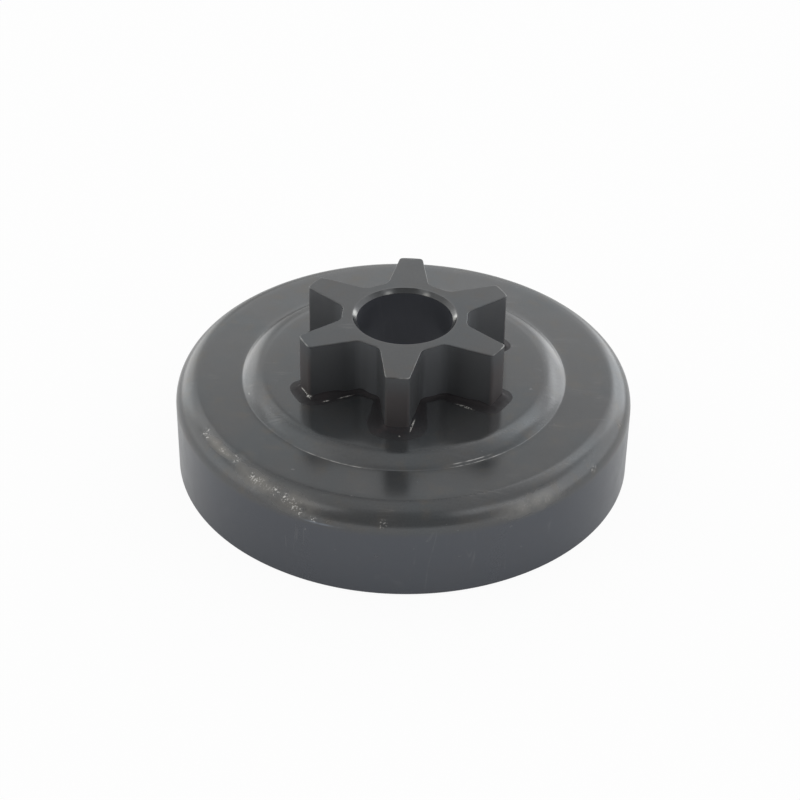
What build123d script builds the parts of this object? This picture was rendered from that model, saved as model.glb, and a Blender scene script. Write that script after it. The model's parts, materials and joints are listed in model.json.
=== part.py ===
from build123d import *
import math
import os

# Chainsaw clutch drum with a brazed spur sprocket, in millimetres and degrees.
# The drum stands on its open rim. The origin is on the bore's axis in the plane of the rim,
# +Z points along the axis towards the teeth, and one tooth points along -Y.

# Driving dimensions of the drum, a cup drawn from one sheet
CLUTCH_FACE_D = 58.0     # inside diameter that the clutch shoes press against
SHEET = 2.3              # thickness of the wall and the web
DRUM_HEIGHT = 13.3       # rim to the flat ring of the web
CORNER_R = 3.2           # round outer corner between the wall and the web
CORNER_RELIEF = 0.9      # short cone that the turned clutch face leaves in the inside corner
BOSS_RAISE = 1.2         # height of the pressed boss above the flat ring
BOSS_LAND = 3.9          # flat left on the boss around the tooth tips
BOSS_SHOULDER_R = 5.0    # soft shoulder of the boss, where the sheet wraps over the punch
RIM_CHAMFER = 0.4        # broken edges of the open rim

# Driving dimensions of the sprocket, a turned hub with milled tooth gaps
BORE_D = 13.0            # raceway of the needle cage that carries the part
HUB_WALL = 2.0           # wall between the bore and the root of the gaps
TOOTH_COUNT = 6
TIP_D = 30.0             # circle over the tooth tips
TIP_WIDTH = 3.2          # width of a tooth at its tip
FLANK_ANGLE = 10.0       # lean of each flank from the tooth's centre line
FACE_HEIGHT = 8.3        # height of the teeth above the boss
ROOT_FILLET = 1.7        # round between a flank and the root of a gap
BORE_CHAMFER = 0.55      # lead-in at both mouths of the bore
SEAT_STEP = 0.6          # shoulder from the root of the gaps in to the spigot
SPIGOT_PROUD = 0.6       # how far the spigot stands out of the web on the inside
SPIGOT_CLEARANCE = 0.03  # radial gap that the filler is drawn into

# Driving dimensions of the braze
BRAZE_SPREAD = 1.0       # how far the filler runs out from the teeth over the boss
BRAZE_CLIMB = 0.8        # how far it climbs up the feet of the teeth
BRAZE_INSIDE = 0.45      # legs of the ring of filler around the spigot, inside the drum

# Sizes and levels worked out from the driving dimensions
clutch_face_r = CLUTCH_FACE_D / 2
drum_r = clutch_face_r + SHEET
bore_r = BORE_D / 2
root_r = bore_r + HUB_WALL
tip_r = TIP_D / 2
spigot_r = root_r - SEAT_STEP
web_hole_r = spigot_r + SPIGOT_CLEARANCE
boss_flat_r = tip_r + BOSS_LAND
ring_inside_z = DRUM_HEIGHT - SHEET
boss_z = DRUM_HEIGHT + BOSS_RAISE
boss_inside_z = boss_z - SHEET
spigot_end_z = boss_inside_z - SPIGOT_PROUD
top_z = boss_z + FACE_HEIGHT
same_radius = 1e-4       # how closely a corner or edge has to match a radius to be picked


def shoulder_run(radius):
    """Radial run of a shoulder arc of this radius that drops by the height of the boss."""
    return math.sqrt(2 * radius * BOSS_RAISE - BOSS_RAISE**2)


def corner(section, radius, level):
    """The vertex of a half section that lies at this radius and level."""
    return section.vertices().sort_by_distance((radius, level, 0))[0]


def drum_section():
    """Half section of the drawn cup, from the rim over the corner and the boss to the hole."""
    inside_shoulder_r = BOSS_SHOULDER_R - SHEET
    foot_r = boss_flat_r + shoulder_run(BOSS_SHOULDER_R)
    inside_foot_r = boss_flat_r + shoulder_run(inside_shoulder_r)
    wall_and_ring = Polyline(
        (inside_foot_r, ring_inside_z),
        (clutch_face_r, ring_inside_z),
        (clutch_face_r, 0),
        (drum_r, 0),
        (drum_r, DRUM_HEIGHT),
        (foot_r, DRUM_HEIGHT),
    )
    shoulder = RadiusArc(wall_and_ring @ 1, (boss_flat_r, boss_z), -BOSS_SHOULDER_R)
    boss_and_hole = Polyline(
        shoulder @ 1,
        (web_hole_r, boss_z),
        (web_hole_r, boss_inside_z),
        (boss_flat_r, boss_inside_z),
    )
    inside_shoulder = RadiusArc(boss_and_hole @ 1, wall_and_ring @ 0, inside_shoulder_r)
    section = make_face([wall_and_ring, shoulder, boss_and_hole, inside_shoulder])
    section = chamfer(corner(section, clutch_face_r, 0), RIM_CHAMFER)
    section = chamfer(corner(section, drum_r, 0), RIM_CHAMFER)
    section = chamfer(corner(section, clutch_face_r, ring_inside_z), CORNER_RELIEF)
    section = fillet(corner(section, drum_r, DRUM_HEIGHT), CORNER_R)
    return fillet(corner(section, inside_foot_r, ring_inside_z), SHEET)


def clutch_drum():
    """The drawn cup: clutch face inside, flat ring, raised boss and the hole for the spigot."""
    return revolve(Plane.XZ * drum_section(), Axis.Z)


def tooth_blank():
    """One tapered tooth along +X, from inside the hub to past the tip circle."""
    tip_x = math.sqrt(tip_r**2 - (TIP_WIDTH / 2) ** 2)
    inner_x = root_r / 2
    outer_x = tip_r + TIP_WIDTH
    lean = math.tan(math.radians(FLANK_ANGLE))
    inner_half = TIP_WIDTH / 2 + (tip_x - inner_x) * lean
    outer_half = TIP_WIDTH / 2 - (outer_x - tip_x) * lean
    return Polygon(
        (inner_x, -inner_half),
        (outer_x, -outer_half),
        (outer_x, outer_half),
        (inner_x, inner_half),
        align=None,
    )


def tooth_outline():
    """Outline of the teeth seen along the axis, with one tooth along -Y."""
    outline = Circle(root_r)
    for index in range(TOOTH_COUNT):
        outline += Rot(0, 0, index * 360 / TOOTH_COUNT - 90) * tooth_blank()
    outline = outline & Circle(tip_r)
    corners = outline.vertices()
    root_corners = corners.filter_by(lambda v: abs(math.hypot(v.X, v.Y) - root_r) < same_radius)
    return fillet(root_corners, ROOT_FILLET)


def spur_sprocket():
    """The toothed hub, with the spigot that passes through the web and the bore through both."""
    teeth = Pos(0, 0, boss_z) * extrude(tooth_outline(), FACE_HEIGHT)
    spigot = Pos(0, 0, spigot_end_z) * extrude(Circle(spigot_r), boss_z - spigot_end_z)
    hub = teeth + spigot
    hub -= Pos(0, 0, spigot_end_z) * extrude(Circle(bore_r), top_z - spigot_end_z)
    circles = hub.edges().filter_by(GeomType.CIRCLE)
    mouths = circles.filter_by(lambda e: abs(e.radius - bore_r) < same_radius)
    return chamfer(mouths, BORE_CHAMFER)


def outside_braze():
    """Bead of filler around the feet of the teeth, on the flat of the boss."""
    land = Pos(0, 0, boss_z) * extrude(Circle(boss_flat_r), -SHEET)
    teeth = Pos(0, 0, boss_z) * extrude(tooth_outline(), FACE_HEIGHT)
    joined = land + teeth
    land_top = joined.faces().filter_by(Axis.Z).sort_by(Axis.Z)[1]
    feet = land_top.inner_wires()[0].edges()
    return chamfer(feet, BRAZE_SPREAD, BRAZE_CLIMB, reference=land_top) - land - teeth


def inside_braze():
    """Ring of filler in the corner between the spigot and the inner face of the web."""
    section = Polygon(
        (spigot_r, boss_inside_z),
        (spigot_r + BRAZE_INSIDE, boss_inside_z),
        (spigot_r, boss_inside_z - BRAZE_INSIDE),
        align=None,
    )
    return revolve(Plane.XZ * section, Axis.Z)


def main():
    os.makedirs("parts", exist_ok=True)
    export_step(clutch_drum(), "parts/clutch_drum.step")
    export_step(spur_sprocket(), "parts/spur_sprocket.step")
    braze = Compound(children=[*outside_braze().solids(), *inside_braze().solids()])
    export_step(braze, "parts/braze_fillets.step")


main()
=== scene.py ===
import json
import math

import bpy
from mathutils import Matrix, Vector, noise


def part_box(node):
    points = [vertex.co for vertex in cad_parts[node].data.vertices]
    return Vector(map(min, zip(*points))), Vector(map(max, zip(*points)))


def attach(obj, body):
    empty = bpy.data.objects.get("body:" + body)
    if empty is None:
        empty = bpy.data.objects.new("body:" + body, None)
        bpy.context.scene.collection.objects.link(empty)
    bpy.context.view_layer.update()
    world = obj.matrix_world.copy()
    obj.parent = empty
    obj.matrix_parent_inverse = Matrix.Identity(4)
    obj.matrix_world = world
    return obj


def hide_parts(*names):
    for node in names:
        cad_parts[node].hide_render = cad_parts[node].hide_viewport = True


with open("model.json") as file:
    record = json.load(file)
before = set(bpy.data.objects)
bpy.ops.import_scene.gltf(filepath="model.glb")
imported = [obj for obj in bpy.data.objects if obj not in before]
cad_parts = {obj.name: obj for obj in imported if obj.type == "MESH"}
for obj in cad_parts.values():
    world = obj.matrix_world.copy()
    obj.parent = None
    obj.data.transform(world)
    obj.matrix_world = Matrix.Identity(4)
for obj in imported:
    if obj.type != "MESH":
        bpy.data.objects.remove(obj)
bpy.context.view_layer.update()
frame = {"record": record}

MM = 0.001

# Sizes read from the frame, in metres
_, drum_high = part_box("clutch_drum")
sprocket_low, sprocket_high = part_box("spur_sprocket")
mounts = {mount["name"]: mount for mount in frame["record"]["mounts"]}
DRUM_R = drum_high.x
BOSS_Z = drum_high.z
TOP_Z = sprocket_high.z
SPIGOT_END_Z = sprocket_low.z
TIP_R = -sprocket_low.y
BORE_R = mounts["bearing_bore"]["dims"]["r_mm"] * MM
CLUTCH_FACE_R = mounts["clutch_face"]["dims"]["r_mm"] * MM
SHEET = DRUM_R - CLUTCH_FACE_R

# Sizes of the drum
BOSS_RAISE = 1.2 * MM
BOSS_LAND = 3.9 * MM
SHOULDER_R = 5.0 * MM
FOOT_R = 0.4 * MM
CORNER_R = 3.2 * MM
CORNER_RELIEF = 0.9 * MM
RIM_CHAMFER = 0.4 * MM
SPIGOT_CLEARANCE = 0.03 * MM
RIPPLE = 0.004 * MM
RIPPLE_LENGTH = 9.0 * MM
RING_Z = BOSS_Z - BOSS_RAISE
BOSS_FLAT_R = TIP_R + BOSS_LAND
SHOULDER_CENTRE = (BOSS_FLAT_R, BOSS_Z - SHOULDER_R)
CORNER_CENTRE = (DRUM_R - CORNER_R, RING_Z - CORNER_R)

# Dents in the outer corner: degrees round the axis and over the corner, width and depth in millimetres
DENTS = (
    (211.0, 26, 0.8, 0.04),
    (213.0, 29, 0.6, 0.03),
    (225.5, 22, 0.9, 0.05),
    (233.0, 34, 0.6, 0.02),
    (241.0, 44, 0.9, 0.04),
    (244.0, 50, 0.8, 0.04),
    (246.5, 62, 0.9, 0.03),
    (248.5, 70, 0.9, 0.05),
    (252.0, 80, 0.7, 0.02),
    (268.7, 65, 0.8, 0.02),
    (304.0, 58, 0.9, 0.04),
    (310.0, 68, 0.8, 0.03),
    (326.7, 66, 0.7, 0.03),
)

# Sizes of the sprocket
TOOTH_COUNT = 6
HUB_WALL = 2.0 * MM
TIP_WIDTH = 3.2 * MM
FLANK_ANGLE = math.radians(10.0)
ROOT_FILLET = 1.7 * MM
TIP_ROUND = 0.55 * MM
EDGE_ROUND = 0.11 * MM
EDGE_HOLD = 0.03 * MM
EDGE_BORDER = 4 * EDGE_ROUND
BORE_CHAMFER = 0.55 * MM
SEAT_STEP = 0.6 * MM
ROOT_R = BORE_R + HUB_WALL
SPIGOT_R = ROOT_R - SEAT_STEP
MOUTH_R = BORE_R + BORE_CHAMFER

# Sizes of the braze
BRAZE_SPREAD = 1.0 * MM
BRAZE_CLIMB = 0.8 * MM
BRAZE_INSIDE = 0.45 * MM
BRAZE_SINK = 0.02 * MM
BRAZE_LUMPS = 0.03 * MM
LUMP_LENGTH = 0.9 * MM
FLOW_LENGTH = 3.1 * MM
PULL_LENGTH = 2.2 * MM

# How unevenly the braze runs out and climbs, in shares of its spread and its climb
SPREAD_ROOT = 0.7
SPREAD_FRONT = 1.35
SPREAD_RISE = 1.6
SPREAD_FLOW = 0.35
CLIMB_MEAN = 0.8
CLIMB_PULL = 0.45
TOE_START = 0.375

# Fineness of the meshes
DRUM_SEGMENTS = 640
RING_SEGMENTS = 160
SMOOTH_ANGLE = math.radians(35)

# The marks below are in millimetres: centre, direction in degrees, and half length, width and height.
# Scuffed patches on the outer corner, lightened partly as painted highlight
RUBS_AND_HIGHLIGHTS = (
    ((-22.6, -18.8, 13.0), -48, (5.5, 1.2, 0.7)),
    ((-17.2, -24.6, 12.5), -42, (6.0, 1.9, 1.5)),
    ((-12.2, -28.0, 11.8), -30, (5.5, 2.4, 2.1)),
    ((18.2, -25.2, 11.4), 34, (8.0, 2.2, 1.9)),
)

# Painted bluish sheen where the outer corner meets the wall
BLUE_SHEEN_MARKS = (
    ((-8.7, -30.0, 10.3), -16, (3.6, 0.9, 0.22)),
)

# Painted glints: bright spots on the chamfer of the bore
MOUTH_GLINTS = (
    ((-6.8, 0.4, 22.5), 90, (1.1, 0.6, 0.5)),
    ((6.8, 0.4, 22.5), 90, (1.1, 0.6, 0.5)),
    ((-2.7, 6.3, 22.2), 23, (1.0, 0.6, 0.5)),
    ((2.7, 6.3, 22.2), -23, (1.0, 0.6, 0.5)),
)

# Painted glints: thin bright lines in the braze
BRAZE_GLINTS = (
    ((-12.7, -7.9, 14.8), -58, (1.7, 0.16, 1.0)),
    ((-12.0, -8.5, 14.8), 30, (0.7, 0.45, 1.0)),
    ((-9.9, -9.2, 14.8), 24, (0.8, 0.13, 1.0)),
    ((-7.3, -7.9, 14.8), 29, (1.5, 0.13, 1.0)),
    ((8.7, -8.95, 14.6), -26, (1.7, 0.26, 1.0)),
    ((2.0, -14.2, 14.7), -101, (1.7, 0.13, 1.0)),
    ((0.45, -16.3, 14.6), 0, (0.2, 0.2, 1.0)),
)

# Direction, half turn and faded half turn in degrees of the scuffed patch that has hardly a speck of bright
# steel, painted grey there as a highlight
GREY_HIGHLIGHT_SECTOR = (-54, 8, 12)

# Painted highlight lines, thin and bright, at the foot of the boss:
# radius and half width in millimetres, direction and half turn in degrees
FOOT_HIGHLIGHT_LINES = (
    (22.25, 0.12, -112, 17),
    (22.2, 0.1, -60, 12),
    (21.85, 0.08, -63, 9),
)

# Uneven patches: features per millimetre, detail, and the levels of noise where they start and are full
COOL_PATCHES = (0.11, 3.0, 0.42, 0.66)
RUB_AND_HIGHLIGHT_PATCHES = (0.7, 6.0, 0.15, 0.65)
SHEEN_PATCHES = (1.1, 4.0, 0.3, 0.6)
BARE_SPECKS = (3.6, 3.0, 0.52, 0.64)
HIGHLIGHT_LINE_PATCHES = (0.8, 3.0, 0.3, 0.6)
EDGE_PATCHES = (0.5, 4.0, 0.42, 0.65)
GLINT_PATCHES = (4.0, 3.0, 0.4, 0.58)

# Clouds: features per millimetre and detail
STAINS = (0.42, 4.0)
GRAIN = (4.0, 3.0)
PITS = (2.0, 4.0)
BRAZE_GRAIN = (1.6, 4.0)

# Depths of the fine relief, in millimetres
DRUM_GRAIN_DEPTH = 0.0016
SPROCKET_GRAIN_DEPTH = 0.0015
BRAZE_GRAIN_DEPTH = 0.05
BARE_DEPTH = 0.01
PIT_DEPTH = 0.01
TURNED_LINE_DEPTH = 0.006

# Colours of the drum
DRUM_OXIDE = {
    "Base": (0.119, 0.121, 0.124, 1),
    "Cool": (0.112, 0.119, 0.125, 1),
    "Warm": (0.128, 0.124, 0.119, 1),
}
WALL_BLUE = (0.108, 0.116, 0.134, 1)
TURNED_DARK = (0.17, 0.171, 0.174, 1)
TURNED_BRIGHT = (0.25, 0.25, 0.252, 1)
# Brownish colour of the scuffed patches on the corner, partly painted highlight
RUBBED_WARM_AND_HIGHLIGHT = (0.21, 0.203, 0.19, 1)
# Painted highlight, grey, on one scuffed patch
PAINTED_HIGHLIGHT_GREY = (0.2, 0.2, 0.2, 1)
# Painted bluish sheen
PAINTED_BLUE_SHEEN = (0.19, 0.21, 0.24, 1)
# Bright steel of the specks, and painted highlight of the lines at the boss's foot
BARE_STEEL_AND_HIGHLIGHT = (0.6, 0.59, 0.57, 1)
DRUM_SCRATCH = (0.28, 0.28, 0.28, 1)

# Colours of the sprocket
SPROCKET_OXIDE = {
    "Base": (0.082, 0.084, 0.087, 1),
    "Cool": (0.077, 0.083, 0.089, 1),
    "Warm": (0.087, 0.084, 0.082, 1),
}
SIDE_GREY = (0.128, 0.132, 0.139, 1)
# Painted reflection: a lighter grey in the roots between the teeth
ROOT_PAINTED_REFLECTION = (0.155, 0.161, 0.17, 1)
BORE_BLUE = (0.136, 0.142, 0.162, 1)
CHAMFER_BLACK = (0.087, 0.089, 0.092, 1)
# Painted glints on the chamfer of the bore
PAINTED_MOUTH_GLINT = (0.34, 0.34, 0.33, 1)
HEAT_BROWN = (0.126, 0.111, 0.111, 1)
# Scuffed edges of the teeth, lightened partly as painted highlight
EDGE_STEEL_AND_HIGHLIGHT = (0.42, 0.42, 0.41, 1)
SPROCKET_SCRATCH = (0.25, 0.25, 0.25, 1)

# Colours of the braze
BRAZE_OXIDE = {
    "Base": (0.039, 0.036, 0.038, 1),
    "Cool": (0.036, 0.036, 0.039, 1),
    "Warm": (0.05, 0.041, 0.043, 1),
}
TOE_GREY = (0.08, 0.08, 0.083, 1)
# Painted glints in the braze
PAINTED_GLINT_BRIGHT = (0.65, 0.64, 0.61, 1)

# Camera
CAMERA_DISTANCE = 288.0 * MM
CAMERA_ELEVATION = math.radians(36.564)
CAMERA_AZIMUTH = math.radians(3.087)
CAMERA_ROLL = math.radians(0.854)
TARGET_SIDE = -0.473 * MM
TARGET_HEIGHT = 8.85 * MM
LENS = 91.74
SENSOR = 36.0

# Floor: its size, how white it is to the eye and in reflections, and where the reflections brighten
FLOOR_HALF = 0.25
FLOOR_GAP = 0.02 * MM
FLOOR_GREY = (0.85, 0.85, 0.85, 1)
FLOOR_SEEN = 0.95
FLOOR_MIRRORED = 0.26
FLOOR_OUTSIDE = 0.02
FLOOR_FAR = 0.2
FLOOR_LEFT = 0.08
OUTSIDE_STEP = (DRUM_R - SHEET, DRUM_R)
FAR_STEP = (2 * DRUM_R, 5 * DRUM_R)
LEFT_STEP = (-0.8 * DRUM_R, -1.1 * DRUM_R)

# Soft boxes of the studio, in degrees. Directions count from straight behind the part, and edges are
# elevations. The last number is the level of light. A level below zero takes light away.
SOFT_BOXES = (
    # direction, half width, side fade, low edge, high edge, edge fade, level
    (-37, 15, 12, -20, 30, 12, 1.5),
    (-37, 7, 8, -20, 10, 12, 0.5),
    (31, 15, 10, -20, 33, 10, 1.4),
    (31, 10, 10, -20, 30, 12, 0.25),
    (17, 8, 8, -20, 12, 10, 0.5),
    (9, 27, 18, 22, 34.5, 7, 0.82),
    (4, 16, 16, 5, 22, 7, 0.4),
    (-2, 16, 12, 41, 57, 8, -0.22),
    (-33, 16, 10, 34, 45, 10, 0.9),
    (-60, 13, 12, 35, 46, 8, 0.5),
    (28, 22, 12, 38.5, 52, 9, 1.15),
    (50, 24, 20, 46, 60, 12, 0.4),
    (-75, 35, 30, 35, 65, 20, 0.35),
    (-86, 34, 20, -20, 30, 12, 0.7),
    (80, 40, 24, -20, 40, 14, 0.85),
    (-131, 14, 10, 34, 55, 10, 0.8),
    (131, 16, 12, 34, 55, 10, 0.75),
)

# Light of the room: its levels, and the soft steps in degrees where it changes
ROOM_LEVEL = 0.55
CEILING_LEVEL = 0.6
CEILING_STEP = (30, 80)
CAMERA_SHADE = 0.27
CAMERA_SHADE_SIDE = (135, 155)
CAMERA_SHADE_TOP = (78, 62)
WHITE = (1, 1, 1, 1)
LEFT_TINT = (1, 1, 0.985, 1)
RIGHT_TINT = (0.985, 0.994, 1, 1)
TINT_STEP = (-0.5, 0.5)


def step_at(size, start, stop):
    """Start and end in millimetres of a soft step, counted from a radius or height in metres."""
    return size / MM + start, size / MM + stop


# Where the finish of the drum changes
CORNER_STEP = step_at(CORNER_CENTRE[0], -0.1, 1.3)
SHOULDER_START = step_at(BOSS_FLAT_R, 0.3, 1.9)
SHOULDER_END = step_at(BOSS_FLAT_R, 3.7, 3.3)
WALL_STEP = step_at(CORNER_CENTRE[1], 0.5, -0.7)
TURNED_EDGE = step_at(CLUTCH_FACE_R, 0.2, 0.05)
TURNED_TOP = step_at(RING_Z - SHEET - CORNER_RELIEF, 0.1, -0.05)

# Where the finish of the sprocket changes
SIDE_STEP = step_at(TOP_Z, -0.05, -0.3)
ROOT_STEP = step_at(ROOT_R, 2.1, 0.7)
HUB_STEP = step_at(MOUTH_R, 0.15, 0.55)
BORE_STEP = step_at(MOUTH_R, 0.25, 0.05)
CHAMFER_STEP = step_at(TOP_Z, -0.7, -0.5)
HEAT_EDGE = step_at(TIP_R, -0.4, -0.05)
HEAT_TOP = step_at(TOP_Z, -0.4, -3.8)
TIP_STEP = step_at(TIP_R, -1.0, -0.2)


# Shape helpers

def arc(centre, radius, start, stop, steps):
    """Points on an arc from one angle to another in degrees, with both ends."""
    angles = [math.radians(start + (stop - start) * step / steps) for step in range(steps + 1)]
    return [(centre[0] + radius * math.cos(a), centre[1] + radius * math.sin(a)) for a in angles]


def straight(start, stop, steps):
    """Points on a straight run between two points, without its ends."""
    shares = [step / steps for step in range(1, steps)]
    return [(start[0] + (stop[0] - start[0]) * s, start[1] + (stop[1] - start[1]) * s) for s in shares]


def ring_mesh(name, rings, ring_share=None):
    """A closed body from rings of points, joined ring to ring, with a share kept for some rings."""
    count = len(rings[0])
    vertices = [point for ring in rings for point in ring]
    faces = []
    for row in range(len(rings)):
        low = row * count
        high = (row + 1) % len(rings) * count
        for i in range(count):
            j = (i + 1) % count
            faces.append((low + i, high + i, high + j, low + j))
    mesh = bpy.data.meshes.new(name)
    mesh.from_pydata(vertices, [], faces)
    mesh.polygons.foreach_set("use_smooth", [True] * len(faces))
    mesh.set_sharp_from_angle(angle=SMOOTH_ANGLE)
    worn = mesh.attributes.new("ring_share", "FLOAT", "POINT").data
    for row, share in (ring_share or {}).items():
        for i in range(row * count, (row + 1) * count):
            worn[i].value = share
    mesh.update()
    piece = bpy.data.objects.new(name, mesh)
    bpy.context.scene.collection.objects.link(piece)
    return piece


def turned_ring(r, z, segments):
    """Points of a circle about Z."""
    angles = [2 * math.pi * i / segments for i in range(segments)]
    return [(r * math.cos(a), r * math.sin(a), z) for a in angles]


def facing(profile, index):
    """Unit normal (r, z) of a profile that runs with the outside on its left."""
    before = profile[index - 1]
    after = profile[(index + 1) % len(profile)]
    return Vector((before[1] - after[1], after[0] - before[0])).normalized()


# Clutch drum

def foot_of_boss(fillet):
    """Slope in degrees and centre of a fillet between the boss's shoulder and the flat ring."""
    reach = SHOULDER_R + fillet
    slope = math.acos((SHOULDER_R - BOSS_RAISE + fillet) / reach)
    return math.degrees(slope), (BOSS_FLAT_R + reach * math.sin(slope), RING_Z + fillet)


def drum_outside():
    """Upper and outer side of the drum's section, from the hole to the rim."""
    slope, foot_centre = foot_of_boss(FOOT_R)
    hole_edge = (SPIGOT_R + SPIGOT_CLEARANCE, BOSS_Z)
    shoulder = arc(SHOULDER_CENTRE, SHOULDER_R, 90, 90 - slope, steps=18)
    foot = arc(foot_centre, FOOT_R, 270 - slope, 270, steps=6)
    corner = arc(CORNER_CENTRE, CORNER_R, 90, 0, steps=28)
    wall_end = (DRUM_R, RIM_CHAMFER)
    return [
        hole_edge, *straight(hole_edge, shoulder[0], steps=10), *shoulder[:-1],
        *foot, *straight(foot[-1], corner[0], steps=8),
        *corner, *straight(corner[-1], wall_end, steps=10), wall_end,
    ]


def drum_inside():
    """Under and inner side of the drum's section, one sheet away, from the rim back to the hole."""
    slope, foot_centre = foot_of_boss(0)
    ring_z = RING_Z - SHEET
    foot = arc(foot_centre, SHEET, 270, 270 - slope, steps=10)
    shoulder = arc(SHOULDER_CENTRE, SHOULDER_R - SHEET, 90 - slope, 90, steps=10)
    face_low = (CLUTCH_FACE_R, RIM_CHAMFER)
    face_high = (CLUTCH_FACE_R, ring_z - CORNER_RELIEF)
    web_edge = (CLUTCH_FACE_R - CORNER_RELIEF, ring_z)
    hole_edge = (SPIGOT_R + SPIGOT_CLEARANCE, BOSS_Z - SHEET)
    return [
        (DRUM_R - RIM_CHAMFER, 0), (CLUTCH_FACE_R + RIM_CHAMFER, 0),
        face_low, *straight(face_low, face_high, steps=8), face_high,
        web_edge, *straight(web_edge, foot[0], steps=6), *foot[:-1],
        *shoulder, *straight(shoulder[-1], hole_edge, steps=8), hole_edge,
    ]


def dent_places():
    """Centre, width and depth of each dent, in metres."""
    places = []
    for turn, slope, width, depth in DENTS:
        turn, slope = math.radians(turn), math.radians(slope)
        r = CORNER_CENTRE[0] + CORNER_R * math.sin(slope)
        z = CORNER_CENTRE[1] + CORNER_R * math.cos(slope)
        places.append((Vector((r * math.cos(turn), r * math.sin(turn), z)), width * MM, depth * MM))
    return places


def make_drum():
    """The drawn cup, with the small unevenness of the sheet and dents in its outer corner."""
    outside = drum_outside()
    profile = outside + drum_inside()
    dents = dent_places()
    rings = []
    for index, (r, z) in enumerate(profile):
        ring = turned_ring(r, z, DRUM_SEGMENTS)
        if 0 < index < len(outside) - 1:
            out, rise = facing(profile, index)
            on_corner = r > CORNER_CENTRE[0] and z > CORNER_CENTRE[1]
            for i, point in enumerate(ring):
                place = Vector(point)
                depth = RIPPLE * (1 + noise.noise(place / RIPPLE_LENGTH))
                if on_corner:
                    for centre, width, deep in dents:
                        depth += deep * math.exp(-((place - centre).length / width) ** 2)
                normal = Vector((point[0] / r * out, point[1] / r * out, rise))
                ring[i] = place - normal * depth
        rings.append(ring)
    return ring_mesh("drum_shell", rings)


# Spur sprocket

def touching_centre(start, along, normal, side, distance):
    """Centre of the circle beside a flank, at this side of it and this distance from the axis."""
    base = start + normal * side
    reach = base.dot(along)
    return base - along * (reach + math.sqrt(reach**2 - base.length_squared + distance**2))


def tooth_half(inset):
    """Half the outline of a tooth along +X, from tip to root, moved inwards by the inset."""
    tip_r = TIP_R - inset
    root_r = ROOT_R - inset
    tip_round = max(TIP_ROUND - inset, EDGE_HOLD)
    root_fillet = ROOT_FILLET + inset
    normal = Vector((math.sin(FLANK_ANGLE), math.cos(FLANK_ANGLE)))
    along = Vector((-normal.y, normal.x))
    start = Vector((math.sqrt(TIP_R**2 - (TIP_WIDTH / 2) ** 2), TIP_WIDTH / 2)) - normal * inset
    tip_centre = touching_centre(start, along, normal, -tip_round, tip_r - tip_round)
    root_centre = touching_centre(start, along, normal, root_fillet, root_r + root_fillet)
    flank_turn = 90 - math.degrees(FLANK_ANGLE)
    tip_turn = math.degrees(math.atan2(tip_centre.y, tip_centre.x))
    root_turn = math.degrees(math.atan2(root_centre.y, root_centre.x))
    half_pitch = 180 / TOOTH_COUNT
    tip = arc((0, 0), tip_r, 0, tip_turn, steps=5)
    tip_corner = arc(tip_centre, tip_round, tip_turn, flank_turn, steps=7)
    root_corner = arc(root_centre, root_fillet, flank_turn + 180, root_turn + 180, steps=10)
    flank = straight(tip_corner[-1], root_corner[0], steps=10)
    root = arc((0, 0), root_r, root_turn, half_pitch, steps=4)
    return [*tip[:-1], *tip_corner, *flank, *root_corner, *root[1:]]


def tooth_outline(inset=0.0):
    """Outline of all the teeth, counter-clockwise, with one tooth along -Y."""
    upper = tooth_half(inset)
    lower = [(x, -y) for x, y in reversed(upper[1:-1])]
    outline = []
    for index in range(TOOTH_COUNT):
        turn = Matrix.Rotation(2 * math.pi * index / TOOTH_COUNT - math.pi / 2, 2)
        outline += [tuple(turn @ Vector(point)) for point in lower + upper]
    return outline


def at_level(outline, z):
    """A flat outline lifted to a level."""
    return [(x, y, z) for x, y in outline]


def circle_like(outline, radius, z):
    """A circle with its points in the same directions as those of an outline."""
    return [(x * radius / math.hypot(x, y), y * radius / math.hypot(x, y), z) for x, y in outline]


def make_sprocket():
    """The toothed hub with rounded edges, its spigot and its bore."""
    outline = tooth_outline()
    rings = [circle_like(outline, MOUTH_R, TOP_Z), circle_like(outline, MOUTH_R + EDGE_HOLD, TOP_Z)]
    for inset in (EDGE_BORDER, EDGE_ROUND + EDGE_HOLD):
        rings.append(at_level(tooth_outline(inset), TOP_Z))
    edge_start = len(rings)
    for inset, z in arc((EDGE_ROUND, TOP_Z - EDGE_ROUND), EDGE_ROUND, 90, 180, steps=5):
        rings.append(at_level(tooth_outline(inset), z))
    edge_stop = len(rings)
    wall_top = (0, TOP_Z - EDGE_ROUND - EDGE_HOLD)
    wall_foot = (0, BOSS_Z)
    for _, z in (wall_top, *straight(wall_top, wall_foot, steps=12), wall_foot):
        rings.append(at_level(outline, z))
    bore_low = (BORE_R, SPIGOT_END_Z + BORE_CHAMFER)
    bore_high = (BORE_R, TOP_Z - BORE_CHAMFER)
    spigot = [(SPIGOT_R, BOSS_Z), (SPIGOT_R, SPIGOT_END_Z), (MOUTH_R, SPIGOT_END_Z)]
    for r, z in (*spigot, bore_low, *straight(bore_low, bore_high, steps=8), bore_high):
        rings.append(circle_like(outline, r, z))
    return ring_mesh("sprocket_body", rings, {row: 1.0 for row in range(edge_start, edge_stop)})


# Braze

def braze_reach(x, y):
    """How far the filler runs out and climbs at a point of the tooth outline."""
    out_to_tip = (math.hypot(x, y) - ROOT_R) / (TIP_R - ROOT_R)
    front = 0.5 - 0.5 * y / math.hypot(x, y)
    flow = noise.noise(Vector((x, y, 0)) / FLOW_LENGTH)
    pull = noise.noise(Vector((x, y, TOP_Z)) / PULL_LENGTH)
    at_front = SPREAD_FRONT * min(1, SPREAD_RISE * out_to_tip) * front**2
    spread = BRAZE_SPREAD * (SPREAD_ROOT + at_front + SPREAD_FLOW * flow)
    climb = BRAZE_CLIMB * (CLIMB_MEAN + CLIMB_PULL * pull)
    return spread, climb


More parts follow.
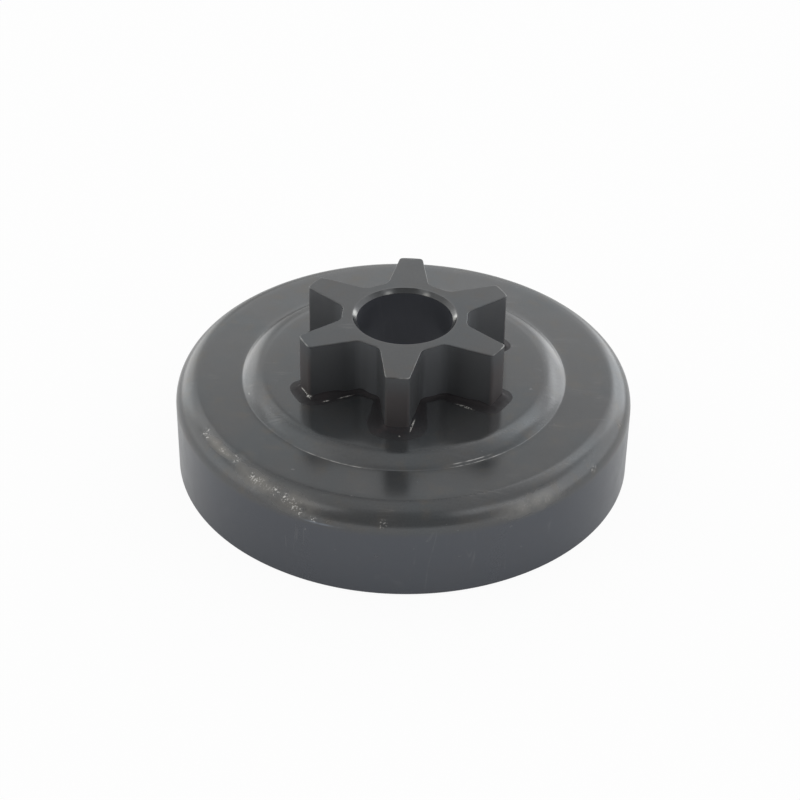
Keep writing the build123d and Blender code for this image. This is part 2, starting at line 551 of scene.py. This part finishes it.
def make_braze():
    """Uneven bead of filler around the feet of the teeth, with its thin toe marked by a share."""
    foot = tooth_outline(BRAZE_SINK)
    outer = tooth_outline()
    section = arc((1, 1), 1, 180, 270, steps=14)
    thin = {row: max(0, (out - TOE_START) / (1 - TOE_START)) for row, (out, _) in enumerate(section)}
    rings = []
    for out, up in section:
        ring = []
        for inner_point, point in zip(foot, outer):
            normal = (Vector(point) - Vector(inner_point)).normalized()
            spread, climb = braze_reach(*point)
            place = Vector(inner_point) + normal * spread * out
            lump = BRAZE_LUMPS * noise.noise(Vector((*place, 0)) / LUMP_LENGTH) * math.sin(math.pi * out)
            ring.append((place.x, place.y, BOSS_Z + max(climb * up + lump, 0)))
        rings.append(ring)
    thin[len(rings)] = 1.0
    toe = [(x, y, BOSS_Z - BRAZE_SINK) for x, y, _ in rings[-1]]
    rings += [toe, at_level(foot, BOSS_Z - BRAZE_SINK)]
    return ring_mesh("braze_bead", rings, thin)


def make_inside_braze():
    """Ring of filler around the spigot, inside the drum."""
    z = BOSS_Z - SHEET
    hollow = arc((SPIGOT_R + BRAZE_INSIDE, z - BRAZE_INSIDE), BRAZE_INSIDE, 90, 180, steps=6)
    profile = [(SPIGOT_R - BRAZE_SINK, z + BRAZE_SINK), (hollow[0][0], z + BRAZE_SINK), *hollow]
    profile.append((SPIGOT_R - BRAZE_SINK, hollow[-1][1]))
    return ring_mesh("braze_ring", [turned_ring(r, z, RING_SEGMENTS) for r, z in profile])


# Node helpers

def add(tree, kind, inputs=None, **settings):
    """A shader node with its settings. An input is a plain value or the socket that feeds it."""
    item = tree.nodes.new("ShaderNode" + kind)
    for name, value in settings.items():
        setattr(item, name, value)
    for name, value in (inputs or {}).items():
        if isinstance(value, bpy.types.NodeSocket):
            tree.links.new(value, item.inputs[name])
        else:
            item.inputs[name].default_value = value
    return item


def calc(tree, operation, first, second=0.0, third=0.0):
    """The result of one step of arithmetic."""
    return add(tree, "Math", {0: first, 1: second, 2: third}, operation=operation).outputs[0]


def product(tree, *factors):
    """All the factors multiplied."""
    result = factors[0]
    for factor in factors[1:]:
        result = calc(tree, "MULTIPLY", result, factor)
    return result


def fade(tree, value, start, stop):
    """A soft step from 0 at the start to 1 at the stop."""
    limits = {"Value": value, "From Min": start, "From Max": stop}
    return add(tree, "MapRange", limits, interpolation_type="SMOOTHSTEP").outputs[0]


def blend(tree, share, first, second):
    """A mix of two colours."""
    return add(tree, "Mix", {0: share, 6: first, 7: second}, data_type="RGBA").outputs[2]


def cloud(tree, place, scale, detail):
    """Soft noise, with its scale in features per millimetre."""
    return add(tree, "TexNoise", {"Vector": place, "Scale": scale, "Detail": detail}).outputs[0]


def patches(tree, place, scale, detail, start, stop):
    """Uneven patches: soft noise, cut between two of its levels."""
    return fade(tree, cloud(tree, place, scale, detail), start, stop)


def marks(tree, place, spots, core):
    """Round or long marks: centre, direction in degrees, and half length, width and height of each."""
    strongest = None
    for centre, heading, size in spots:
        turn = (0, 0, math.radians(heading))
        own = {"Vector": place, "Location": centre, "Rotation": turn, "Scale": size}
        local = add(tree, "Mapping", own, vector_type="TEXTURE").outputs[0]
        away = add(tree, "VectorMath", {0: local}, operation="LENGTH").outputs["Value"]
        mark = fade(tree, away, 1.0, core)
        strongest = mark if strongest is None else calc(tree, "MAXIMUM", strongest, mark)
    return strongest


def place_in_mm(tree):
    """Place on the part in millimetres, in the part's own frame."""
    coordinate = add(tree, "TexCoord").outputs["Object"]
    return add(tree, "VectorMath", {0: coordinate, "Scale": 1 / MM}, operation="SCALE").outputs[0]


def round_the_axis(tree, place):
    """Radius, height and direction in degrees of a place, seen along the bore's axis."""
    x, y, z = add(tree, "SeparateXYZ", {0: place}).outputs
    radius = calc(tree, "SQRT", calc(tree, "ADD", product(tree, x, x), product(tree, y, y)))
    turn = calc(tree, "DEGREES", calc(tree, "ARCTAN2", y, x))
    return radius, z, turn


def sector(tree, turn, centre, inner, outer):
    """A soft sector around a direction in degrees."""
    return fade(tree, calc(tree, "ABSOLUTE", calc(tree, "SUBTRACT", turn, centre)), outer, inner)


def thin_ring(tree, radius, turn, ring_r, half_width, centre, half_turn):
    """A thin arc around the axis."""
    away = calc(tree, "ABSOLUTE", calc(tree, "SUBTRACT", radius, ring_r))
    across = fade(tree, away, half_width, 0.0)
    return product(tree, across, sector(tree, turn, centre, half_turn / 2, half_turn))


def new_group(name, inputs, outputs):
    """An empty shader node group with its sockets. Returns its tree, what comes in and what goes out."""
    tree = bpy.data.node_groups.new(name, "ShaderNodeTree")
    for label, kind in inputs.items():
        tree.interface.new_socket(label, in_out="INPUT", socket_type="NodeSocket" + kind)
    for label, kind in outputs.items():
        tree.interface.new_socket(label, in_out="OUTPUT", socket_type="NodeSocket" + kind)
    return tree, tree.nodes.new("NodeGroupInput").outputs, tree.nodes.new("NodeGroupOutput").inputs


def new_material(name):
    """A material with its node tree and its shader."""
    material = bpy.data.materials.new(name)
    material.use_nodes = True
    return material, material.node_tree, material.node_tree.nodes["Principled BSDF"]


def feed(tree, shader, colour, roughness, height):
    """Colour, roughness and a height in millimetres, led to the shader."""
    bump = add(tree, "Bump", {"Strength": 1.0, "Distance": MM, "Height": height})
    tree.links.new(colour, shader.inputs["Base Color"])
    tree.links.new(roughness, shader.inputs["Roughness"])
    tree.links.new(bump.outputs[0], shader.inputs["Normal"])


# Effects that several finishes share

def patina_group():
    """Mottled oxide: cool and warm clouds over a base colour, with uneven gloss and a fine grain."""
    tree, given, made = new_group(
        "patina",
        {"Place": "Vector", "Base": "Color", "Cool": "Color", "Warm": "Color", "Gloss": "Float"},
        {"Colour": "Color", "Roughness": "Float", "Height": "Float"},
    )
    place = given["Place"]
    stain = cloud(tree, place, *STAINS)
    grain = cloud(tree, place, *GRAIN)
    colour = blend(tree, patches(tree, place, *COOL_PATCHES), given["Base"], given["Cool"])
    colour = blend(tree, fade(tree, stain, 0.5, 0.78), colour, given["Warm"])
    shade = calc(tree, "MULTIPLY_ADD", grain, 0.3, 0.85)
    shaded = add(tree, "VectorMath", {0: colour, "Scale": shade}, operation="SCALE").outputs[0]
    uneven = calc(tree, "MULTIPLY_ADD", stain, 0.14, -0.07)
    tree.links.new(shaded, made["Colour"])
    tree.links.new(calc(tree, "ADD", given["Gloss"], uneven), made["Roughness"])
    tree.links.new(calc(tree, "ADD", grain, stain), made["Height"])
    return tree


def hairline_group():
    """Long fine scratches in two directions, here and there."""
    tree, given, made = new_group("hairlines", {"Place": "Vector", "Rarity": "Float"}, {"Mask": "Float"})
    place = given["Place"]
    lines = []
    for turn, scale in ((0.5, 0.9), (2.1, 0.7)):
        spin = {"Vector": place, "Rotation": (0.3, 0.2, turn), "Scale": (0.03, scale, 0.03)}
        drawn = add(tree, "Mapping", spin).outputs[0]
        line = calc(tree, "ABSOLUTE", calc(tree, "SUBTRACT", cloud(tree, drawn, 2.0, 0.0), 0.5))
        here = patches(tree, place, 0.25, 2.0, given["Rarity"], 0.85)
        lines.append(product(tree, fade(tree, line, 0.02, 0.004), here))
    tree.links.new(calc(tree, "MAXIMUM", *lines), made["Mask"])
    return tree


def nick_group():
    """Small chipped spots of uneven size."""
    tree, given, made = new_group(
        "nicks", {"Place": "Vector", "Density": "Float", "Size": "Float"}, {"Mask": "Float"}
    )
    warp = add(tree, "TexNoise", {"Vector": given["Place"], "Scale": 2.0, "Detail": 2.0}).outputs[1]
    moved = add(tree, "VectorMath", {0: given["Place"], 1: warp}, operation="ADD").outputs[0]
    cells = add(tree, "TexVoronoi", {"Vector": moved, "Scale": given["Density"]})
    luck = add(tree, "SeparateColor", {"Color": cells.outputs["Color"]}).outputs[0]
    size = product(tree, given["Size"], luck)
    spot = fade(tree, calc(tree, "DIVIDE", cells.outputs["Distance"], size), 1.0, 0.6)
    tree.links.new(product(tree, spot, fade(tree, luck, 0.45, 0.6)), made["Mask"])
    return tree


PATINA = patina_group()
HAIRLINES = hairline_group()
NICKS = nick_group()


# Finish of the drum

def turned_clutch_face(tree, radius, height):
    """Where the clutch face is turned bright, and the fine lines that turning left there."""
    turned = product(tree, fade(tree, radius, *TURNED_EDGE), fade(tree, height, *TURNED_TOP))
    along = {"W": height, "Scale": 5.0, "Detail": 4.0}
    return turned, add(tree, "TexNoise", along, noise_dimensions="1D").outputs[0]


def bare_specks_and_highlight_lines(tree, place, radius, turn, rub_and_highlight, grey_highlight):
    """Specks of bright steel in the dents and the scuffed patches, and painted highlight lines at the foot
    of the boss.
    """
    dent_spots = [(centre / MM, 0, [width / MM] * 3) for centre, width, _ in dent_places()]
    nicks = marks(tree, place, dent_spots, 0.2)
    worn = calc(tree, "MAXIMUM", nicks, fade(tree, rub_and_highlight, 0.5, 1.1))
    speckled = calc(tree, "SUBTRACT", 1.0, product(tree, grey_highlight, 0.85))
    bare_and_highlight = product(tree, patches(tree, place, *BARE_SPECKS), worn, speckled)
    broken = product(tree, patches(tree, place, *HIGHLIGHT_LINE_PATCHES), 0.8)
    # Painted highlight lines along the foot of the boss
    for highlight_line in FOOT_HIGHLIGHT_LINES:
        line = product(tree, thin_ring(tree, radius, turn, *highlight_line), broken)
        bare_and_highlight = calc(tree, "MAXIMUM", bare_and_highlight, line)
    return bare_and_highlight


def black_oxide_drum():
    """Glossy black-oxidised sheet, bluer on the wall, scuffed and nicked at the outer corner, with painted
    highlights on the corner's patches, a painted bluish sheen and painted highlight lines at the boss's
    foot.
    """
    material, tree, shader = new_material("black_oxide_drum")
    shader.inputs["Metallic"].default_value = 0.7
    place = place_in_mm(tree)
    radius, height, turn = round_the_axis(tree, place)
    patina = add(tree, "Group", {"Place": place, "Gloss": 0.19, **DRUM_OXIDE}, node_tree=PATINA).outputs
    wall = product(tree, fade(tree, height, *WALL_STEP), 0.8)
    colour = blend(tree, wall, patina["Colour"], WALL_BLUE)

    turned, lines = turned_clutch_face(tree, radius, height)
    bright = blend(tree, fade(tree, lines, 0.35, 0.65), TURNED_DARK, TURNED_BRIGHT)
    colour = blend(tree, turned, colour, bright)

    # Scuffed patches on the corner, lightened partly as painted highlight, and one painted grey as a
    # highlight
    rub_and_highlight = product(tree, marks(tree, place, RUBS_AND_HIGHLIGHTS, 0.0), patches(tree, place, *RUB_AND_HIGHLIGHT_PATCHES))
    colour = blend(tree, rub_and_highlight, colour, RUBBED_WARM_AND_HIGHLIGHT)
    grey_highlight = sector(tree, turn, *GREY_HIGHLIGHT_SECTOR)
    colour = blend(tree, product(tree, rub_and_highlight, grey_highlight, 0.4), colour, PAINTED_HIGHLIGHT_GREY)
    # Painted bluish sheen where the corner meets the wall
    blue_sheen = product(tree, marks(tree, place, BLUE_SHEEN_MARKS, 0.2), patches(tree, place, *SHEEN_PATCHES))
    colour = blend(tree, blue_sheen, colour, PAINTED_BLUE_SHEEN)
    # Specks of bright steel, and painted highlight lines at the boss's foot
    bare_and_highlight = bare_specks_and_highlight_lines(tree, place, radius, turn, rub_and_highlight, grey_highlight)
    colour = blend(tree, bare_and_highlight, colour, BARE_STEEL_AND_HIGHLIGHT)

    hair = add(tree, "Group", {"Place": place, "Rarity": 0.5}, node_tree=HAIRLINES).outputs[0]
    dust = add(tree, "Group", {"Place": place, "Density": 0.5, "Size": 0.1}, node_tree=NICKS).outputs[0]
    light = calc(tree, "MAXIMUM", product(tree, hair, 0.3), product(tree, dust, 0.4))
    colour = blend(tree, light, colour, DRUM_SCRATCH)

    corner = fade(tree, radius, *CORNER_STEP)
    shoulder = product(tree, fade(tree, radius, *SHOULDER_START), fade(tree, radius, *SHOULDER_END))
    roughness = calc(tree, "ADD", patina["Roughness"], product(tree, rub_and_highlight, 0.2))
    roughness = calc(tree, "ADD", roughness, product(tree, corner, 0.05))
    grain = product(tree, patina["Height"], DRUM_GRAIN_DEPTH)
    pits = product(tree, cloud(tree, place, *PITS), calc(tree, "ADD", corner, shoulder), PIT_DEPTH)
    relief = calc(tree, "ADD", pits, product(tree, lines, turned, TURNED_LINE_DEPTH))
    relief = calc(tree, "ADD", relief, calc(tree, "SUBTRACT", grain, product(tree, bare_and_highlight, BARE_DEPTH)))
    feed(tree, shader, colour, roughness, relief)
    return material


# Finish of the sprocket

def black_oxide_sprocket():
    """Satin black-oxidised milled steel, browned by heat towards the braze, with scuffed edges lightened
    partly as painted highlight, painted glints on the chamfer of the bore and a painted reflection in the
    roots.
    """
    material, tree, shader = new_material("black_oxide_sprocket")
    shader.inputs["Metallic"].default_value = 0.55
    place = place_in_mm(tree)
    radius, height, _ = round_the_axis(tree, place)
    patina = add(tree, "Group", {"Place": place, "Gloss": 0.22, **SPROCKET_OXIDE}, node_tree=PATINA).outputs
    side = fade(tree, height, *SIDE_STEP)
    colour = blend(tree, product(tree, side, 0.8), patina["Colour"], SIDE_GREY)
    # Painted reflection: the roots between the teeth lighter
    root = product(tree, side, fade(tree, radius, *ROOT_STEP), fade(tree, radius, *HUB_STEP))
    colour = blend(tree, root, colour, ROOT_PAINTED_REFLECTION)

    inside = fade(tree, radius, *BORE_STEP)
    chamfer = product(tree, inside, fade(tree, height, *CHAMFER_STEP))
    colour = blend(tree, product(tree, inside, side), colour, BORE_BLUE)
    colour = blend(tree, chamfer, colour, CHAMFER_BLACK)
    # Painted glints on the chamfer of the bore
    spots = product(tree, chamfer, marks(tree, place, MOUTH_GLINTS, 0.2))
    colour = blend(tree, spots, colour, PAINTED_MOUTH_GLINT)

    heat = product(tree, fade(tree, radius, *HEAT_EDGE), fade(tree, height, *HEAT_TOP), 0.8)
    colour = blend(tree, heat, colour, HEAT_BROWN)
    # Scuffed edges, lightened partly as painted highlight, most at the tips
    edge = add(tree, "Attribute", attribute_name="ring_share").outputs["Fac"]
    tip = calc(tree, "ADD", 0.15, fade(tree, radius, *TIP_STEP))
    rubbed_and_highlight = product(tree, edge, tip, patches(tree, place, *EDGE_PATCHES), 0.55)
    colour = blend(tree, rubbed_and_highlight, colour, EDGE_STEEL_AND_HIGHLIGHT)
    hair = add(tree, "Group", {"Place": place, "Rarity": 0.55}, node_tree=HAIRLINES).outputs[0]
    colour = blend(tree, product(tree, hair, 0.3), colour, SPROCKET_SCRATCH)

    roughness = calc(tree, "ADD", patina["Roughness"], product(tree, side, 0.14))
    roughness = calc(tree, "SUBTRACT", roughness, product(tree, chamfer, 0.14))
    feed(tree, shader, colour, roughness, product(tree, patina["Height"], SPROCKET_GRAIN_DEPTH))
    return material


# Finish of the braze

def dark_copper_braze():
    """Copper-based filler, darkened with the part, thin at its toe, with a few painted glints as thin
    bright lines.
    """
    material, tree, shader = new_material("dark_copper_braze")
    shader.inputs["Specular IOR Level"].default_value = 0.1
    place = place_in_mm(tree)
    patina = add(tree, "Group", {"Place": place, "Gloss": 0.55, **BRAZE_OXIDE}, node_tree=PATINA).outputs
    thin = add(tree, "Attribute", attribute_name="ring_share").outputs["Fac"]
    colour = blend(tree, product(tree, thin, 0.6), patina["Colour"], TOE_GREY)
    # Painted glints: thin bright lines in the filler
    braze_glint_mask = product(tree, marks(tree, place, BRAZE_GLINTS, 0.4), patches(tree, place, *GLINT_PATCHES))
    colour = blend(tree, braze_glint_mask, colour, PAINTED_GLINT_BRIGHT)
    metallic = calc(tree, "ADD", product(tree, thin, 0.2), 0.3)
    tree.links.new(metallic, shader.inputs["Metallic"])
    roughness = calc(tree, "SUBTRACT", patina["Roughness"], product(tree, thin, 0.2))
    grain = product(tree, cloud(tree, place, *BRAZE_GRAIN), BRAZE_GRAIN_DEPTH)
    feed(tree, shader, colour, roughness, grain)
    return material


# Stage, light and camera

def make_camera():
    """A camera at the photo's viewing angle."""
    turn = Matrix.Rotation(CAMERA_AZIMUTH, 3, "Z")
    place = turn @ Vector((0, -math.cos(CAMERA_ELEVATION), math.sin(CAMERA_ELEVATION))) * CAMERA_DISTANCE
    target = turn @ Vector((TARGET_SIDE, 0, TARGET_HEIGHT))
    aim = (target - place).normalized()
    level = aim.cross(Vector((0, 0, 1))).normalized()
    upright = level.cross(aim)
    right = level * math.cos(CAMERA_ROLL) + upright * math.sin(CAMERA_ROLL)
    up = upright * math.cos(CAMERA_ROLL) - level * math.sin(CAMERA_ROLL)
    data = bpy.data.cameras.new("photo_camera")
    data.lens = LENS
    data.sensor_width = SENSOR
    camera = bpy.data.objects.new("photo_camera", data)
    camera.matrix_world = Matrix.Translation(place) @ Matrix((right, up, -aim)).transposed().to_4x4()
    bpy.context.scene.collection.objects.link(camera)
    bpy.context.scene.camera = camera


def pale_floor():
    """White to the eye with a trace of the part's shadow, and dimmer in reflections near the part."""
    material, tree, shader = new_material("pale_floor")
    tree.nodes.remove(shader)
    lit = add(tree, "BsdfDiffuse", {"Color": FLOOR_GREY}).outputs[0]
    white = add(tree, "Emission", {"Color": WHITE}).outputs[0]
    path = add(tree, "LightPath").outputs
    place = add(tree, "TexCoord").outputs["Object"]
    radius, _, _ = round_the_axis(tree, place)
    across = add(tree, "SeparateXYZ", {0: place}).outputs[0]
    mirrored = FLOOR_MIRRORED
    for where, step, extra in (
        (radius, OUTSIDE_STEP, FLOOR_OUTSIDE),
        (radius, FAR_STEP, FLOOR_FAR),
        (across, LEFT_STEP, FLOOR_LEFT),
    ):
        mirrored = calc(tree, "ADD", mirrored, product(tree, fade(tree, where, *step), extra))
    seen = product(tree, path["Is Camera Ray"], FLOOR_SEEN)
    share = calc(tree, "ADD", seen, product(tree, path["Is Glossy Ray"], mirrored))
    mix = add(tree, "MixShader", {0: share, 1: lit, 2: white}).outputs[0]
    tree.links.new(mix, tree.nodes["Material Output"].inputs["Surface"])
    return material


def make_floor():
    """A square floor just under the rim."""
    mesh = bpy.data.meshes.new("floor")
    corners = [(-1, -1), (1, -1), (1, 1), (-1, 1)]
    mesh.from_pydata([(x * FLOOR_HALF, y * FLOOR_HALF, 0) for x, y in corners], [], [(0, 1, 2, 3)])
    mesh.materials.append(pale_floor())
    floor = bpy.data.objects.new("floor", mesh)
    floor.location.z = -FLOOR_GAP
    bpy.context.scene.collection.objects.link(floor)


def soft_box(tree, turn, rise, centre, half, side_fade, low, high, edge_fade, strength):
    """Light from one soft box, with faded sides and edges."""
    across = sector(tree, turn, centre, half - side_fade / 2, half + side_fade / 2)
    over = fade(tree, rise, low - edge_fade / 2, low + edge_fade / 2)
    under = fade(tree, rise, high + edge_fade / 2, high - edge_fade / 2)
    return product(tree, across, over, under, strength)


def make_light():
    """A plain room with soft boxes around the part, darker on the camera's side, white to the eye."""
    world = bpy.data.worlds.new("studio")
    bpy.context.scene.world = world
    world.use_nodes = True
    tree = world.node_tree
    tree.nodes.clear()
    x, y, z = add(tree, "SeparateXYZ", {0: add(tree, "TexCoord").outputs["Generated"]}).outputs
    turn = calc(tree, "DEGREES", calc(tree, "ARCTAN2", x, y))
    rise = calc(tree, "DEGREES", calc(tree, "ARCSINE", z))
    ceiling = fade(tree, rise, *CEILING_STEP)
    level = calc(tree, "MULTIPLY_ADD", ceiling, CEILING_LEVEL - ROOM_LEVEL, ROOM_LEVEL)
    for box in SOFT_BOXES:
        level = calc(tree, "ADD", level, soft_box(tree, turn, rise, *box))
    camera_side = fade(tree, calc(tree, "ABSOLUTE", turn), *CAMERA_SHADE_SIDE)
    shade = product(tree, camera_side, fade(tree, rise, *CAMERA_SHADE_TOP), CAMERA_SHADE)
    level = calc(tree, "SUBTRACT", level, shade)
    seen = add(tree, "LightPath").outputs["Is Camera Ray"]
    strength = add(tree, "Mix", {0: seen, 2: level, 3: 1.0}).outputs[0]
    tint = blend(tree, fade(tree, x, *TINT_STEP), LEFT_TINT, RIGHT_TINT)
    colour = blend(tree, seen, tint, WHITE)
    background = add(tree, "Background", {"Color": colour, "Strength": strength})
    output = add(tree, "OutputWorld")
    tree.links.new(background.outputs[0], output.inputs["Surface"])


# Assembly

drum_finish = black_oxide_drum()
sprocket_finish = black_oxide_sprocket()
braze_finish = dark_copper_braze()
for piece, node, slot, finish in (
    (make_drum(), "clutch_drum", "drum_steel", drum_finish),
    (make_sprocket(), "spur_sprocket", "sprocket_steel", sprocket_finish),
    (make_braze(), "braze_fillets", "copper_braze", braze_finish),
    (make_inside_braze(), "braze_fillets", "copper_braze", braze_finish),
):
    piece.data.materials.append(finish)
    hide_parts(node)
    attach(piece, "root")

make_camera()
make_floor()
make_light()
bpy.context.scene.view_settings.view_transform = "Standard"
